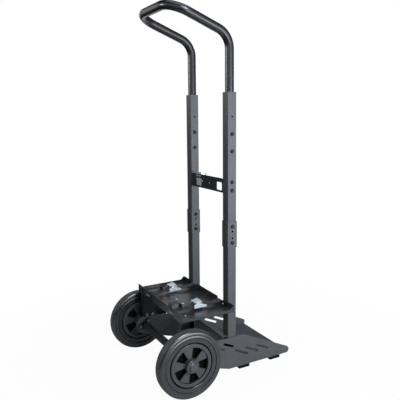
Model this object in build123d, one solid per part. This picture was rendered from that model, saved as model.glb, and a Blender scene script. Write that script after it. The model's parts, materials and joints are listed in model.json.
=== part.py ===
from build123d import *
import math
import os

os.makedirs("parts", exist_ok=True)

# Welding trolley: two wheels, two jointed uprights with a bent tube handle, a machine tray
# over the wheels and a low bay for a gas cylinder in front.
# Millimetres, +Z up. -Y is the side of the wheels and of the person pushing, +Y the cylinder bay,
# +X the right hand of the person pushing. The origin is on the floor under the middle of the trolley.

# Uprights, square tube in two lengths that meet inside a sleeve
upright_spacing = 244.0
upright_y = 32.0
tube_size = 32.0
tube_wall = 2.0
tube_corner = 3.0
lower_tube_length = 456.7
upper_tube_length = 448.0

# Sheet metal, and the outer radius of its bends
plate_thickness = 3.0
sheet_thickness = 2.0
bend_radius = 3.0

# How far a cut runs past the faces that it opens
cut_past = 1.0

# Rubber feet under the base plate
foot_height = 15.3
foot_length = 44.0
foot_width = 26.0
foot_inset = 3.0
foot_rounding = 4.0
foot_chamfer = 2.0
foot_positions = (53.0, 181.5)

# Side plates, seen from the side, measured from the uprights' middle
bay_reach = 236.5
side_plate_height = 125.0
side_plate_slope_start = 43.0
side_plate_nose_height = 35.5
side_plate_back_corner = -56.0
side_plate_rise_start = -14.0
side_plate_nose_rounding = 11.0
side_plate_top_rounding = 20.0
side_plate_eye_radius = 34.0
base_plate_setback = 1.5

# Tab of the side plate that carries the tray bracket, measured from the axle
tab_front = 37.0
tab_back = -2.0
tab_height = 52.0

# Slots in the side plates: distance in front of the uprights, height and overall length
slot_width = 8.0
slot_fall = 24.5
slots = (
    (36.5, 64.0, 58.0),
    (78.5, 64.0, 58.0),
    (120.5, 64.0, 58.0),
    (-15.4, 99.4, 44.0),
    (-47.0, 95.0, 36.0),
)

# Cross beam behind the uprights
beam_height = 40.0
beam_depth = 20.0
beam_top = 132.0
beam_hole_radius = 3.0
beam_hole_inset = 23.0

# Sleeves over the tube joints
sleeve_wall = 1.75
sleeve_length = 85.0
sleeve_clearance = 0.25
sleeve_bolt_offset = 26.8
sleeve_hole_offset = 11.0
sleeve_hole_radius = 3.2

# Bolts and nuts, M6
bolt_radius = 3.0
bolt_clearance = 0.25
bolt_head_radius = 6.0
bolt_head_height = 3.3
bolt_head_rounding = 1.9
bolt_socket_flats = 4.0
bolt_socket_depth = 2.0
nut_flats = 10.0
nut_height = 5.0
bolt_past_nut = 1.5

# Cross plate between the upper uprights
cross_plate_drop = 315.0
cross_plate_height = 46.0
cross_tab_setback = 2.0
cross_bolt_offset = 13.2
cross_window_height = 26.0
cross_window_rise = 6.5
cross_window_rounding = 3.0
left_window_inset = 35.0
left_window_width = 39.0
right_window_inset = 4.5
right_window_width = 33.0
cross_hole_radius = 2.5
cross_hole_gap = 1.5
cross_middle_hole_x = 20.8
cross_hole_rise = 23.0

# Handle, round tube that slides in the upper uprights, with heights measured from their tops
handle_fit = 0.05
handle_wall = 2.0
handle_leg_insert = 255.0
handle_corner_rise = 170.5
handle_arm_length = 211.3
handle_arm_rise = 21.4
handle_leg_bend = 62.0
handle_grip_bend = 61.0
handle_bolt_drop = 181.5
handle_hole_pitch = 53.4
handle_slot_clearance = 0.3

# Axle and wheels
wheel_radius = 107.5
axle_setback = 193.0
axle_radius = 8.0
axle_clearance = 0.05
axle_tube_wall = 4.45
spacer_length = 35.0
spacer_wall = 2.45
wheel_side_play = 0.4
washer_border = 3.5
washer_thickness = 1.5
cap_side_wall = 4.5
cap_height = 4.0
cap_end_wall = 1.5
hub_wall = 9.5
hub_inner_half = 24.6
hub_outer_half = 25.0
hub_chamfer = 1.5
bush_wall = 3.42
bush_clearance = 0.08

# Tyre section: half widths with their drops below the tread, from the tread to the bead
crown_edge = (12.6, 0.7)
shoulder = (15.4, 4.0)
side_top = (17.0, 10.5)
waist = (16.3, 14.4)
ridge_rise = (17.2, 17.5)
ridge_foot = (17.5, 20.8)
step_foot = (16.2, 22.6)
bead_side = (15.0, 34.5)
bead_foot = (10.5, 39.0)
groove_width = 1.8
groove_depth = 2.0
groove_offsets = (-10.2, -3.4, 3.4, 10.2)

# Rim: ring, five ribs on each face of a thin web, and the hub
rim_half_width = 16.0
rim_ring_depth = 12.0
rim_chamfer = 1.5
web_thickness = 4.0
spoke_count = 5
spoke_hub_width = 11.5
spoke_ring_width = 43.0
spoke_inset = 4.5
spoke_angle = 28.0
web_shift = -6.0
pocket_hub_gap = 1.0
pocket_rounding = 1.8

# Two-bolt axle flanges on the inner faces of the side plates. Each bolt has its angle above the
# line from the axle towards the uprights, and the gap that its nut leaves beside the boss.
flange_thickness = 3.0
flange_border = 6.0
flange_boss_wall = 1.95
flange_boss_depth = 11.0
flange_ear_radius = 8.5
flange_bolt_angles = (58.2, 189.6)
flange_nut_gaps = (0.4, 4.5)

# Tray
tray_gap_over_tyre = 12.0
tray_overhang = 37.2
tray_past_axle = 8.0
tray_front_lip = 24.2
tray_front_hem = 3.5
tray_back_lip = 23.0
tray_side_lip = 11.0
tray_corner_run = 14.0
tray_bolt_rise = 12.0
tray_hole_radius = 5.0
tray_holes = ((-21.0, 78.7), (1.2, 64.0), (24.0, 79.0))
strap_opening_margin = 6.0
strap_opening_height = 14.0
strap_notch_depth = 8.0
lip_hole_radius = 3.5
lip_hole_gap = 0.5
lip_hole_rise = 6.0

# Tray brackets
bracket_width = 47.0
bracket_front = 41.0
bracket_bottom_rise = 30.0
bracket_flange_rise = 37.5
bracket_flange_depth = 25.0
bracket_shelf = 22.0
bracket_shelf_bolt = 9.0
bracket_bolt_rise = 38.0
bracket_bolt_places = (4.0, 26.0)
bracket_shelf_bolt_place = 24.0

# Cam buckles
buckle_length = 45.0
buckle_side_gap = 1.5
buckle_sheet = 2.0
buckle_ear_height = 14.5
buckle_tail_height = 6.0
buckle_nose_height = 11.5
buckle_setback = 100.0
buckle_lift = 7.5
pivot_offset = -9.0
pivot_height = 10.5
pivot_radius = 2.0
pivot_clearance = 0.05
pin_head_radius = 3.2
pin_head_thickness = 0.8
strap_bar_offset = -20.0
strap_bar_height = 7.5
lever_side_gap = 0.6
lever_hub_radius = 4.4
lever_nose_width = 4.4
lever_plate_length = 22.5
lever_plate_rise = 12.0
lever_plate_inset = 0.5
lever_waist_depth = 2.5
lever_plate_thickness = 2.2
lever_plate_start_y = -10.0
lever_plate_start_z = 6.6
upper_buckle_rise = 5.5
rivet_radius = 2.0
rivet_head_radius = 3.6
rivet_head_height = 1.4
rivet_spacing = 18.0
rivet_drop = 6.0

# Webbing, stretched over the tray from the front lip to the back lip
strap_to_upright = 1.5
strap_width = 25.0
strap_thickness = 1.6
strap_gap = 0.3
loop_front_rounding = 6.0
loop_back_rounding = 12.0
left_loop_length = 56.0
left_loop_height = 30.0
left_loop_sag = 4.0
right_loop_length = 38.0
right_loop_height = 28.2
right_loop_sag = 0.2
strap_hook_drop = 9.0

# Positions that follow from the sizes above
upright_x = upright_spacing / 2
upright_outer = upright_x + tube_size / 2
upright_inner = upright_x - tube_size / 2
upright_back = upright_y - tube_size / 2
upright_front = upright_y + tube_size / 2
side_outer = upright_outer + plate_thickness
joint_height = foot_height + lower_tube_length
upright_top = joint_height + upper_tube_length
sleeve_bore = tube_size + 2 * sleeve_clearance
sleeve_size = sleeve_bore + 2 * sleeve_wall
axle_y = upright_y - axle_setback
axle_z = wheel_radius
axle_bore = axle_radius + axle_clearance
bush_bore = axle_radius + bush_clearance
bush_radius = bush_bore + bush_wall
hub_radius = bush_radius + hub_wall
spacer_radius = axle_bore + spacer_wall
flange_boss_radius = axle_bore + flange_boss_wall
nut_corner = nut_flats / math.sqrt(3)
tray_bottom = 2 * wheel_radius + tray_gap_over_tyre
tray_top = tray_bottom + sheet_thickness
tray_half = upright_outer + tray_overhang
tray_back = upright_back
tray_front = axle_y - tray_past_axle
wheel_x = side_outer + spacer_length + wheel_side_play + hub_inner_half
hub_face = wheel_x + hub_outer_half
washer_face = hub_face + wheel_side_play
cap_face = washer_face + washer_thickness
hole_radius = bolt_radius + bolt_clearance
strap_x = upright_inner - strap_to_upright - strap_width / 2
buckle_y = tray_front + buckle_setback
buckle_bottom = tray_top + buckle_lift
buckle_width = strap_width + 2 * (buckle_side_gap + buckle_sheet)
handle_radius = tube_size / 2 - tube_wall - handle_fit
handle_low_bolt = upright_top - handle_bolt_drop
handle_high_bolt = handle_low_bolt + handle_hole_pitch
handle_free_hole = handle_high_bolt + handle_hole_pitch
handle_leg_bottom = upright_top - handle_leg_insert
handle_corner_height = upright_top + handle_corner_rise
cross_plate_bottom = upright_top - cross_plate_drop
cross_plate_top = cross_plate_bottom + cross_plate_height
cross_plate_middle = cross_plate_bottom + cross_plate_height / 2
left_window_middle = -upright_inner + left_window_inset + left_window_width / 2
right_window_middle = upright_inner - right_window_inset - right_window_width / 2
upper_buckle_x = left_window_middle
rim_radius = wheel_radius - bead_foot[1]


def block(x0, x1, y0, y1, z0, z1):
    """A box between two corners."""
    box = Box(x1 - x0, y1 - y0, z1 - z0)
    return Pos((x0 + x1) / 2, (y0 + y1) / 2, (z0 + z1) / 2) * box


def rod_x(radius, x0, x1, y, z):
    """A round bar along X."""
    return Pos((x0 + x1) / 2, y, z) * Rot(0, 90, 0) * Cylinder(radius, x1 - x0)


def rod_y(radius, x, y0, y1, z):
    """A round bar along Y."""
    return Pos(x, (y0 + y1) / 2, z) * Rot(90, 0, 0) * Cylinder(radius, y1 - y0)


def rod_z(radius, x, y, z0, z1):
    """A round bar along Z."""
    return Pos(x, y, (z0 + z1) / 2) * Cylinder(radius, z1 - z0)


def outline_face(points):
    """A face from (y, z) points, on the plane x = 0."""
    return Plane.YZ * make_face(Polyline(*points, close=True))


def slab(face, x0, x1):
    """A (y, z) face given thickness from x0 to x1."""
    return Pos(x0, 0, 0) * extrude(face, x1 - x0, dir=(1, 0, 0))


def mirrored(shape):
    """The same shape on the other side of the trolley."""
    return mirror(shape, about=Plane.YZ)


def button_bolt(grip):
    """A button-head bolt: the head stands on z = 0, the shank points down through the grip."""
    head = Pos(0, 0, bolt_head_height / 2) * Cylinder(bolt_head_radius, bolt_head_height)
    head = fillet(head.edges().sort_by(Axis.Z)[-1], bolt_head_rounding)
    socket = RegularPolygon(bolt_socket_flats / 2, 6, major_radius=False)
    head -= Pos(0, 0, bolt_head_height - bolt_socket_depth) * extrude(socket, bolt_head_height)
    shank_length = grip + nut_height + bolt_past_nut
    return head + Pos(0, 0, -shank_length / 2) * Cylinder(bolt_radius, shank_length)


def hex_nut():
    """A plain nut standing on z = 0."""
    body = extrude(RegularPolygon(nut_flats / 2, 6, major_radius=False), nut_height)
    return body - Pos(0, 0, nut_height / 2) * Cylinder(bolt_radius, 2 * nut_height)


def bolted(seat, outward, grip):
    """A bolt with its head on the seat, and its nut on the far side of the grip."""
    out = Vector(*outward)
    head_plane = Plane(origin=seat, z_dir=out)
    far = Vector(*seat) - out * grip
    nut_plane = Plane(origin=far, z_dir=out * -1)
    return head_plane * button_bolt(grip), nut_plane * hex_nut()


def square_tube(z0, z1):
    """A square tube on the right-hand upright's middle line."""
    outer = RectangleRounded(tube_size, tube_size, tube_corner)
    bore = tube_size - 2 * tube_wall
    inner = RectangleRounded(bore, bore, tube_corner - tube_wall)
    return Pos(upright_x, upright_y, z0) * extrude(outer - inner, z1 - z0)


def tangent_point(point, centre, radius, turn):
    """Where the line from a point touches a circle, on the side given by turn (1 or -1)."""
    along = point[0] - centre[0]
    up = point[1] - centre[1]
    angle = math.atan2(up, along) + turn * math.acos(radius / math.hypot(along, up))
    return (centre[0] + radius * math.cos(angle), centre[1] + radius * math.sin(angle))


def edges_at(shape, direction, **place):
    """The edges along an axis that lie at the given x, y or z."""
    found = shape.edges().filter_by(direction)
    for letter, value in place.items():
        axis = {"x": Axis.X, "y": Axis.Y, "z": Axis.Z}[letter]
        found = found.filter_by_position(axis, value, value)
    return found


def save(name, *solids):
    """One file for each named piece or group of like pieces."""
    shape = solids[0] if len(solids) == 1 else Compound(children=list(solids))
    export_step(shape, f"parts/{name}.step")


# Base plate between the side plates, welded to the front of the uprights
bay_front = upright_y + bay_reach
base_front = bay_front - base_plate_setback
base_top = foot_height + plate_thickness
base_plate = block(-upright_outer, upright_outer, upright_front, base_front, foot_height, base_top)
save("base_plate", base_plate)


# Rubber feet
def rubber_foot(x, y):
    """One foot block with rounded corners and a chamfered tread."""
    foot = Pos(x, y, foot_height / 2) * Box(foot_width, foot_length, foot_height)
    foot = fillet(foot.edges().filter_by(Axis.Z), foot_rounding)
    return chamfer(foot.faces().sort_by(Axis.Z)[0].edges(), foot_chamfer)


foot_x = upright_outer - foot_inset - foot_width / 2
feet = []
for offset in foot_positions:
    feet.append(rubber_foot(-foot_x, upright_y + offset))
    feet.append(rubber_foot(foot_x, upright_y + offset))
save("rubber_feet", *feet)

# Side plates
back_corner = (upright_y + side_plate_back_corner, side_plate_height)
slope_corner = (upright_y + side_plate_slope_start, side_plate_height)
nose_corner = (bay_front, side_plate_nose_height)
toe_corner = (bay_front, foot_height)
rise_corner = (upright_y + side_plate_rise_start, foot_height)
eye = (axle_y, axle_z)
eye_top = tangent_point(back_corner, eye, side_plate_eye_radius, 1)
eye_low = tangent_point(rise_corner, eye, side_plate_eye_radius, -1)
eye_back = (axle_y - side_plate_eye_radius, axle_z)
front_run = Polyline(eye_low, rise_corner, toe_corner, nose_corner, slope_corner, back_corner, eye_top)
side_sketch = make_face(front_run.edges() + ThreePointArc(eye_top, eye_back, eye_low).edges())
by_front = side_sketch.vertices().sort_by(Axis.X)
side_sketch = fillet(by_front[-2:], side_plate_nose_rounding)
top_row = [v for v in side_sketch.vertices() if abs(v.Y - side_plate_height) < 0.01]
side_sketch = fillet(top_row, side_plate_top_rounding)
tab_middle = axle_y + (tab_front + tab_back) / 2
side_sketch += Pos(tab_middle, axle_z + tab_height / 2) * Rectangle(tab_front - tab_back, tab_height)
slot_faces = Sketch()
for place, height, length in slots:
    slot_faces += Pos(upright_y + place, height) * Rot(0, 0, -slot_fall) * SlotOverall(length, slot_width)
side_sketch -= slot_faces
side_sketch -= Pos(axle_y, axle_z) * Circle(axle_bore)
bracket_bolt_points = []
for place in bracket_bolt_places:
    bracket_bolt_points.append((axle_y + place, axle_z + bracket_bolt_rise))
flange_bolt_points = []
for degrees, gap in zip(flange_bolt_angles, flange_nut_gaps):
    reach = max(flange_boss_radius + nut_corner, spacer_radius + bolt_head_radius) + gap
    angle = math.radians(degrees)
    flange_bolt_points.append((axle_y + reach * math.cos(angle), axle_z + reach * math.sin(angle)))
for point in bracket_bolt_points + flange_bolt_points:
    side_sketch -= Pos(*point) * Circle(hole_radius)
side_plate = slab(Plane.YZ * side_sketch, upright_outer, side_outer)
save("side_plate_right", side_plate)
save("side_plate_left", mirrored(side_plate))

# Cross beam: a channel open towards the uprights
beam_back = upright_back - beam_depth
beam_bottom = beam_top - beam_height
beam = block(-upright_outer, upright_outer, beam_back, upright_back, beam_bottom, beam_top)
beam = fillet(edges_at(beam, Axis.X, y=beam_back), bend_radius)
beam_hollow = block(
    -upright_outer - cut_past,
    upright_outer + cut_past,
    beam_back + sheet_thickness,
    upright_back + cut_past,
    beam_bottom + sheet_thickness,
    beam_top - sheet_thickness,
)
beam_hollow_edges = edges_at(beam_hollow, Axis.X, y=beam_back + sheet_thickness)
beam -= fillet(beam_hollow_edges, bend_radius - sheet_thickness)
beam_hole_x = upright_inner - beam_hole_inset
beam_hole_y = upright_back - beam_depth / 2
beam_hole_start = beam_top - sheet_thickness - cut_past
beam -= rod_z(beam_hole_radius, beam_hole_x, beam_hole_y, beam_hole_start, beam_top + cut_past)
save("rear_cross_beam", beam)

# Uprights with the holes of everything bolted to them
lower_upright = square_tube(foot_height, joint_height)
upper_upright = square_tube(joint_height, upright_top)
tube_left = upright_inner - tube_wall
tube_right = upright_outer + tube_wall
tube_back = upright_back - tube_wall
tube_front = upright_front + tube_wall
sleeve_low_bolt = joint_height - sleeve_bolt_offset
sleeve_high_bolt = joint_height + sleeve_bolt_offset
tray_bolt_z = tray_bottom + tray_bolt_rise
cross_bolt_heights = (cross_plate_middle - cross_bolt_offset, cross_plate_middle + cross_bolt_offset)
handle_bolt_heights = (handle_low_bolt, handle_high_bolt)
lower_upright -= rod_x(hole_radius, tube_left, tube_right, upright_y, sleeve_low_bolt)
sleeve_low_hole = joint_height - sleeve_hole_offset
sleeve_high_hole = joint_height + sleeve_hole_offset
lower_upright -= rod_x(sleeve_hole_radius, tube_left, tube_right, upright_y, sleeve_low_hole)
upper_upright -= rod_x(sleeve_hole_radius, tube_left, tube_right, upright_y, sleeve_high_hole)
lower_upright -= slab(Plane.YZ * slot_faces, upright_outer - tube_wall, upright_outer)
lower_upright -= rod_y(hole_radius, upright_x, tube_back, tube_front, tray_bolt_z)
upper_holes = (sleeve_high_bolt, *cross_bolt_heights, *handle_bolt_heights, handle_free_hole)
for height in upper_holes:
    upper_upright -= rod_x(hole_radius, tube_left, tube_right, upright_y, height)
save("lower_upright_right", lower_upright)
save("lower_upright_left", mirrored(lower_upright))
save("upper_upright_right", upper_upright)
save("upper_upright_left", mirrored(upper_upright))

# Joint sleeves
sleeve_half = sleeve_size / 2
sleeve_outer = RectangleRounded(sleeve_size, sleeve_size, tube_corner)
sleeve_inner = RectangleRounded(sleeve_bore, sleeve_bore, tube_corner)
sleeve_bottom = joint_height - sleeve_length / 2
sleeve = Pos(upright_x, upright_y, sleeve_bottom) * extrude(sleeve_outer - sleeve_inner, sleeve_length)
sleeve_left = upright_x - sleeve_half - cut_past
sleeve_right = upright_x + sleeve_half + cut_past
for height in (sleeve_low_bolt, sleeve_high_bolt):
    sleeve -= rod_x(hole_radius, sleeve_left, sleeve_right, upright_y, height)
for height in (sleeve_low_hole, sleeve_high_hole):
    sleeve -= rod_x(sleeve_hole_radius, sleeve_left, sleeve_right, upright_y, height)
save("joint_sleeve_right", sleeve)
save("joint_sleeve_left", mirrored(sleeve))


def save_bolt_group(name, pairs):
    """Bolts and nuts given for the right-hand side, repeated on the left."""
    bolts = []
    nuts = []
    for bolt, nut in pairs:
        bolts.extend([bolt, mirrored(bolt)])
        nuts.extend([nut, mirrored(nut)])
    save(f"{name}_bolts", *bolts)
    save(f"{name}_nuts", *nuts)


sleeve_pairs = []
for height in (sleeve_low_bolt, sleeve_high_bolt):
    sleeve_pairs.append(bolted((upright_x + sleeve_half, upright_y, height), (1, 0, 0), sleeve_size))
save_bolt_group("sleeve", sleeve_pairs)

# Cross plate: a sheet across the uprights' backs with side tabs bolted to their inner faces
cross_front = upright_back + sheet_thickness
tab_end = upright_front - cross_tab_setback
tab_inner = upright_inner - sheet_thickness
cross_plate = block(
    -upright_inner,
    upright_inner,
    upright_back,
    tab_end,
    cross_plate_bottom,
    cross_plate_top,
)
cross_plate = fillet(edges_at(cross_plate, Axis.Z, y=upright_back), bend_radius)
cross_hollow = block(
    -tab_inner,
    tab_inner,
    cross_front,
    tab_end + cut_past,
    cross_plate_bottom - cut_past,
    cross_plate_top + cut_past,
)
cross_plate -= fillet(edges_at(cross_hollow, Axis.Z, y=cross_front), bend_radius - sheet_thickness)
for height in cross_bolt_heights:
    cross_plate -= rod_x(hole_radius, -upright_outer, upright_outer, upright_y, height)
window_middle_z = cross_plate_bottom + cross_window_rise + cross_window_height / 2
window_depth = 2 * (sheet_thickness + cut_past)
for middle, width in ((left_window_middle, left_window_width), (right_window_middle, right_window_width)):
    window = Pos(middle, upright_back, window_middle_z) * Box(width, window_depth, cross_window_height)
    cross_plate -= fillet(window.edges().filter_by(Axis.Y), cross_window_rounding)
cross_near_hole_x = left_window_middle + left_window_width / 2 + cross_hole_gap + cross_hole_radius
cross_cut_back = upright_back - cut_past
cross_cut_front = cross_front + cut_past
for place in (cross_near_hole_x, cross_middle_hole_x):
    hole_z = cross_plate_bottom + cross_hole_rise
    cross_plate -= rod_y(cross_hole_radius, place, cross_cut_back, cross_cut_front, hole_z)
rivet_z = cross_plate_top - rivet_drop
rivet_places = (upper_buckle_x - rivet_spacing / 2, upper_buckle_x + rivet_spacing / 2)
for place in rivet_places:
    cross_plate -= rod_y(rivet_radius, place, cross_cut_back, cross_cut_front, rivet_z)
save("cross_plate", cross_plate)
cross_pairs = []
for height in cross_bolt_heights:
    seat = (upright_outer, upright_y, height)
    cross_pairs.append(bolted(seat, (1, 0, 0), tube_size + sheet_thickness))
save_bolt_group("cross_plate", cross_pairs)


def bent_path(points, radii):
    """Straight runs through the points, with a tangent arc of the given radius at each inner point."""
    edges = []
    start = Vector(*points[0])
    for index, radius in enumerate(radii):
        before = Vector(*points[index])
        corner = Vector(*points[index + 1])
        after = Vector(*points[index + 2])
        back = (before - corner).normalized()
        ahead = (after - corner).normalized()
        half = math.acos(back.dot(ahead)) / 2
        run = radius / math.tan(half)
        middle_way = (back + ahead).normalized()
        apex = corner + middle_way * (radius / math.sin(half) - radius)
        edges.append(Line(start, corner + back * run))
        edges.append(ThreePointArc(corner + back * run, apex, corner + ahead * run))
        start = corner + ahead * run
    edges.append(Line(start, Vector(*points[-1])))
    return Wire(edges)


# Handle: one bent tube whose slotted legs stand in the upper uprights
arm_angle = math.radians(handle_arm_rise)
grip_y = upright_y - handle_arm_length * math.cos(arm_angle)
grip_z = handle_corner_height + handle_arm_length * math.sin(arm_angle)
handle_points = (
    (-upright_x, upright_y, handle_leg_bottom),
    (-upright_x, upright_y, handle_corner_height),
    (-upright_x, grip_y, grip_z),
    (upright_x, grip_y, grip_z),
    (upright_x, upright_y, handle_corner_height),
    (upright_x, upright_y, handle_leg_bottom),
)
handle_bends = (handle_leg_bend, handle_grip_bend, handle_grip_bend, handle_leg_bend)
handle_path = bent_path(handle_points, handle_bends)
handle_plane = Plane(origin=handle_points[0], z_dir=(0, 0, 1))
handle = sweep(handle_plane * Circle(handle_radius), path=handle_path)
handle -= sweep(handle_plane * Circle(handle_radius - handle_wall), path=handle_path)
leg_slot_half = bolt_radius + handle_slot_clearance
leg_slot_bottom = handle_low_bolt - handle_hole_pitch
leg_slot_length = handle_high_bolt - leg_slot_bottom + 2 * leg_slot_half
leg_slot_middle = (leg_slot_bottom + handle_high_bolt) / 2
leg_slot = extrude(SlotOverall(leg_slot_length, 2 * leg_slot_half), tube_size / 2, both=True)
leg_slot = Rot(0, 90, 0) * leg_slot
for side in (-upright_x, upright_x):
    handle -= Pos(side, upright_y, leg_slot_middle) * leg_slot
save("handle", handle)
handle_pairs = []
for height in handle_bolt_heights:
    handle_pairs.append(bolted((upright_outer, upright_y, height), (1, 0, 0), tube_size))
save_bolt_group("handle", handle_pairs)

# Axle flanges: an oval plate with a boss, bolted to the inner face of each side plate
flange_edges = (Pos(axle_y, axle_z) * Circle(flange_boss_radius + flange_border)).edges()
for point in flange_bolt_points:
    flange_edges += (Pos(*point) * Circle(flange_ear_radius)).edges()
flange_sketch = Plane.YZ * make_hull(flange_edges)
flange_inner = upright_outer - flange_thickness
boss_face = upright_outer - flange_boss_depth
flange = slab(flange_sketch, flange_inner, upright_outer)
flange += rod_x(flange_boss_radius, boss_face, upright_outer, axle_y, axle_z)
for point in flange_bolt_points:
    flange -= rod_x(hole_radius, flange_inner - cut_past, upright_outer + cut_past, *point)
flange -= rod_x(axle_bore, boss_face - cut_past, upright_outer + cut_past, axle_y, axle_z)
save("axle_flange_right", flange)
save("axle_flange_left", mirrored(flange))
flange_pairs = []
for point in flange_bolt_points:
    flange_pairs.append(bolted((side_outer, *point), (1, 0, 0), plate_thickness + flange_thickness))
save_bolt_group("axle_flange", flange_pairs)

# Axle bar, the tube around it between the flanges, spacers, washers and end caps
axle_end = cap_face + cap_height - cap_end_wall
axle = rod_x(axle_radius, -axle_end, axle_end, axle_y, axle_z)
save("axle", axle)


def ring_x(outer, inner, x0, x1):
    """A ring around the axle."""
    hollow = rod_x(inner, x0 - cut_past, x1 + cut_past, axle_y, axle_z)
    return rod_x(outer, x0, x1, axle_y, axle_z) - hollow


save("axle_tube", ring_x(axle_bore + axle_tube_wall, axle_bore, -boss_face, boss_face))
spacer = ring_x(spacer_radius, axle_bore, side_outer, side_outer + spacer_length)
save("axle_spacers", spacer, mirrored(spacer))
washer = ring_x(axle_radius + washer_border, axle_bore, washer_face, cap_face)
save("wheel_washers", washer, mirrored(washer))
cap = rod_x(axle_radius + cap_side_wall, cap_face, cap_face + cap_height, axle_y, axle_z)
cap = fillet(cap.edges().sort_by(Axis.X)[-1], cap_height / 2)
cap -= rod_x(axle_radius, cap_face - cut_past, axle_end, axle_y, axle_z)
save("axle_caps", cap, mirrored(cap))


def turned(face):
    """A ring turned about the axle from a section with x along the axle and y as the radius."""
    return Pos(wheel_x, axle_y, axle_z) * revolve(face, Axis.X)


# Tyres: a nearly flat tread with grooves, rounded shoulders, a ridge and a step in the sidewall
def tyre_arc(start, middle, end):
    """An arc of the tyre's section through three points, each a half width and a drop."""
    points = [(width, wheel_radius - drop) for width, drop in (start, middle, end)]
    return ThreePointArc(*points).edges()


def tyre_lines(*points):
    """Straight lines of the tyre's section through points, each a half width and a drop."""
    return Polyline(*[(width, wheel_radius - drop) for width, drop in points]).edges()


def across(point):
    """The same point on the other half of the section."""
    return (-point[0], point[1])


section_edges = tyre_arc(across(crown_edge), (0, 0), crown_edge)
section_edges += tyre_lines(bead_foot, across(bead_foot))
section_edges += tyre_arc(crown_edge, shoulder, side_top)
section_edges += tyre_lines(side_top, waist)
section_edges += tyre_arc(waist, ridge_rise, ridge_foot)
section_edges += tyre_lines(ridge_foot, step_foot, bead_side, bead_foot)
section_edges += tyre_arc(across(crown_edge), across(shoulder), across(side_top))
section_edges += tyre_lines(across(side_top), across(waist))
section_edges += tyre_arc(across(waist), across(ridge_rise), across(ridge_foot))
section_edges += tyre_lines(across(ridge_foot), across(step_foot), across(bead_side), across(bead_foot))
tyre_section = make_face(section_edges)
for offset in groove_offsets:
    tyre_section -= Pos(offset, wheel_radius) * Rectangle(groove_width, 2 * groove_depth)
tyre = turned(tyre_section)
save("tyre_right", tyre)
save("tyre_left", mirrored(tyre))

# Rims: a ring, a web with five tapered ribs on each face, and the hub
ring_inner = rim_radius - rim_ring_depth
ring_middle = (rim_radius + ring_inner) / 2
rim = turned(Pos(0, ring_middle) * Rectangle(2 * rim_half_width, rim_ring_depth))
rim = chamfer(rim.edges().filter_by(GeomType.CIRCLE), rim_chamfer)
hub_middle = Pos((hub_outer_half - hub_inner_half) / 2, (hub_radius + bush_radius) / 2)
hub_section = hub_middle * Rectangle(hub_outer_half + hub_inner_half, hub_radius - bush_radius)
rim += chamfer(turned(hub_section).edges().filter_by(GeomType.CIRCLE), hub_chamfer)
disc = Circle(ring_middle) - Circle((hub_radius + bush_radius) / 2)
pockets = Circle(ring_inner) - Circle(hub_radius + pocket_hub_gap)
rib = make_face(Polyline(
    (0, -spoke_hub_width / 2),
    (hub_radius, -spoke_hub_width / 2),
    (rim_radius, -spoke_ring_width / 2),
    (rim_radius, spoke_ring_width / 2),
    (hub_radius, spoke_hub_width / 2),
    (0, spoke_hub_width / 2),
    close=True,
))
for index in range(spoke_count):
    pockets -= Rot(0, 0, spoke_angle + index * 360 / spoke_count) * rib
pockets = fillet(pockets.vertices(), pocket_rounding)
wheel_middle = Pos(wheel_x, axle_y, axle_z)
spoke_face = rim_half_width - spoke_inset
rim += wheel_middle * extrude(Plane.YZ * (disc - pockets), spoke_face, both=True)
web_middle = Pos(wheel_x + web_shift, axle_y, axle_z)
rim += web_middle * extrude(Plane.YZ * disc, web_thickness / 2, both=True)
save("rim_right", rim)
save("rim_left", mirrored(rim))
bush = ring_x(bush_radius, bush_bore, wheel_x - hub_inner_half, hub_face)
save("wheel_bush_right", bush)
save("wheel_bush_left", mirrored(bush))

# Tray: floor, back lip, front lip that hangs a little below the floor, and side lips that rise at the corners
tray = block(-tray_half, tray_half, tray_front, tray_back, tray_bottom, tray_top)
front_lip_top = tray_bottom + tray_front_lip
back_lip_top = tray_bottom + tray_back_lip
side_lip_top = tray_bottom + tray_side_lip
tray += block(-tray_half, tray_half, tray_front, tray_front + sheet_thickness, tray_bottom, front_lip_top)
tray += block(-tray_half, tray_half, tray_back - sheet_thickness, tray_back, tray_bottom, back_lip_top)
side_lip_face = outline_face([
    (tray_front, tray_bottom),
    (tray_back, tray_bottom),
    (tray_back, back_lip_top),
    (tray_back - tray_corner_run, side_lip_top),
    (tray_front + tray_corner_run, side_lip_top),
    (tray_front, front_lip_top),
])
side_lip = slab(side_lip_face, tray_half - sheet_thickness, tray_half)
tray += side_lip
tray += mirrored(side_lip)
tray = fillet(tray.faces().sort_by(Axis.Z)[0].edges(), bend_radius)
floor_edges = edges_at(tray, Axis.X, z=tray_top) + edges_at(tray, Axis.Y, z=tray_top)
tray = fillet(floor_edges, bend_radius - sheet_thickness)
hem_half = tray_half - bend_radius
hem_bottom = tray_bottom - tray_front_hem
hem_top = tray_bottom + bend_radius
tray += block(-hem_half, hem_half, tray_front, tray_front + sheet_thickness, hem_bottom, hem_top)
opening_half = strap_width / 2 + strap_opening_margin
opening_top = tray_top + strap_opening_height
notch_bottom = back_lip_top - strap_notch_depth
lip_hole_offset = strap_width / 2 + lip_hole_gap + lip_hole_radius
lip_cut_start = tray_back - sheet_thickness - cut_past
lip_cut_end = tray_back + cut_past
for middle in (-strap_x, strap_x):
    left = middle - opening_half
    right = middle + opening_half
    opening_start = tray_front - cut_past
    opening_end = tray_front + bend_radius
    tray -= block(left, right, opening_start, opening_end, hem_bottom - cut_past, opening_top)
    tray -= block(left, right, lip_cut_start, lip_cut_end, notch_bottom, back_lip_top + cut_past)
    for side in (-lip_hole_offset, lip_hole_offset):
        tray -= rod_y(lip_hole_radius, middle + side, lip_cut_start, lip_cut_end, tray_top + lip_hole_rise)
floor_cut_start = tray_bottom - cut_past
floor_cut_end = tray_top + cut_past
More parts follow.
